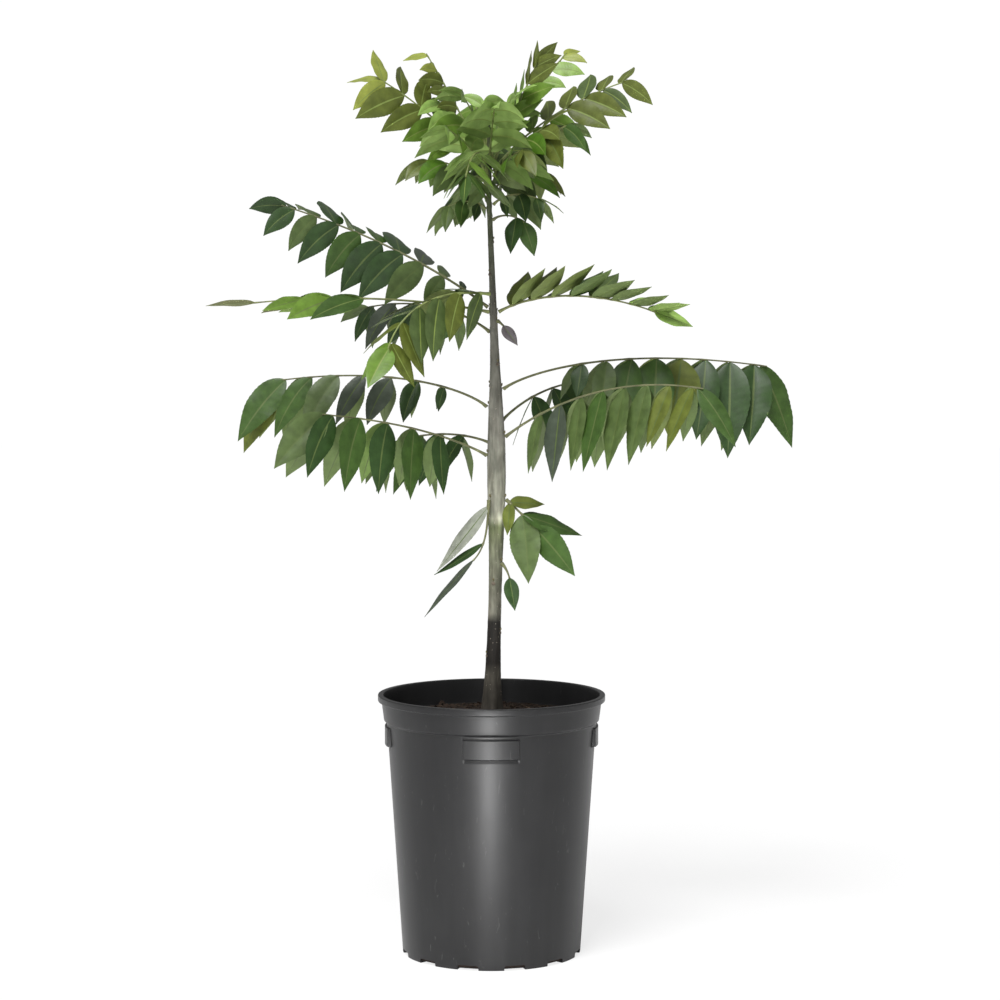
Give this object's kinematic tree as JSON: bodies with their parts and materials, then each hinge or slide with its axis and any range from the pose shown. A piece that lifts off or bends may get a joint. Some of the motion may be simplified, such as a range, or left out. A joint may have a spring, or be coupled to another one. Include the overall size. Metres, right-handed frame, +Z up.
{
  "type": "potted pecan tree",
  "caption": "Young pecan tree with a thin trunk, drooping compound leaves and a leafy top, in a tapered plastic nursery pot.",
  "frame": {"origin": "centre of the pot's flat underside", "axes": "+Z up the trunk, +X to the right and +Y away from the viewer of the plant's front"},
  "size_m": [0.6639, 0.3764, 1.0224],
  "materials": {
    "pot_plastic": "dark grey moulded polyethylene, semi-matt, with faint scuffs",
    "potting_mix": "coarse moist bark chips and fines",
    "bark": "thin grey-green bark, finely ridged, with pale pores and leaf scars",
    "leaf_dark": "full-grown leaf, deep green, softly glossy, paler below",
    "leaf_mid": "half-grown leaf, mid green, softly glossy, paler below",
    "leaf_fresh": "young leaf, yellow-green, softly glossy"
  },
  "bodies": {
    "root": {"pot": "pot_plastic", "potting_mix": "potting_mix", "trunk": "bark", "low_left_leaf": "leaf_dark", "low_right_leaf": "leaf_dark", "low_small_leaf": "leaf_dark", "left_hanging_leaf": "leaf_dark", "left_arching_leaf": "leaf_dark", "right_hanging_leaf": "leaf_dark", "right_arching_leaf": "leaf_dark", "back_left_leaf": "leaf_dark", "back_right_leaf": "leaf_dark", "middle_left_leaf": "leaf_mid", "upper_left_leaf": "leaf_dark", "middle_front_leaf": "leaf_fresh", "middle_small_leaf": "leaf_dark", "middle_right_leaf": "leaf_mid", "middle_back_leaf": "leaf_dark", "crown_left_leaf": "leaf_fresh", "crown_top_left_leaf": "leaf_fresh", "crown_top_right_leaf": "leaf_fresh", "crown_right_leaf": "leaf_fresh", "crown_right_near_leaf": "leaf_mid", "crown_right_far_leaf": "leaf_fresh", "crown_near_leaf": "leaf_fresh", "crown_far_leaf": "leaf_fresh", "crown_low_leaf": "leaf_dark", "crown_leaf_01": "leaf_mid", "crown_leaf_02": "leaf_mid", "crown_leaf_03": "leaf_mid", "crown_leaf_04": "leaf_mid", "crown_leaf_05": "leaf_mid", "crown_leaf_06": "leaf_mid", "crown_leaf_07": "leaf_mid", "crown_leaf_08": "leaf_mid", "crown_leaf_09": "leaf_fresh", "crown_leaf_10": "leaf_fresh", "crown_leaf_11": "leaf_fresh", "crown_leaf_12": "leaf_fresh", "crown_leaf_13": "leaf_fresh", "crown_leaf_14": "leaf_fresh", "crown_leaf_15": "leaf_fresh", "crown_leaf_16": "leaf_fresh"}
  },
  "joints": []
}
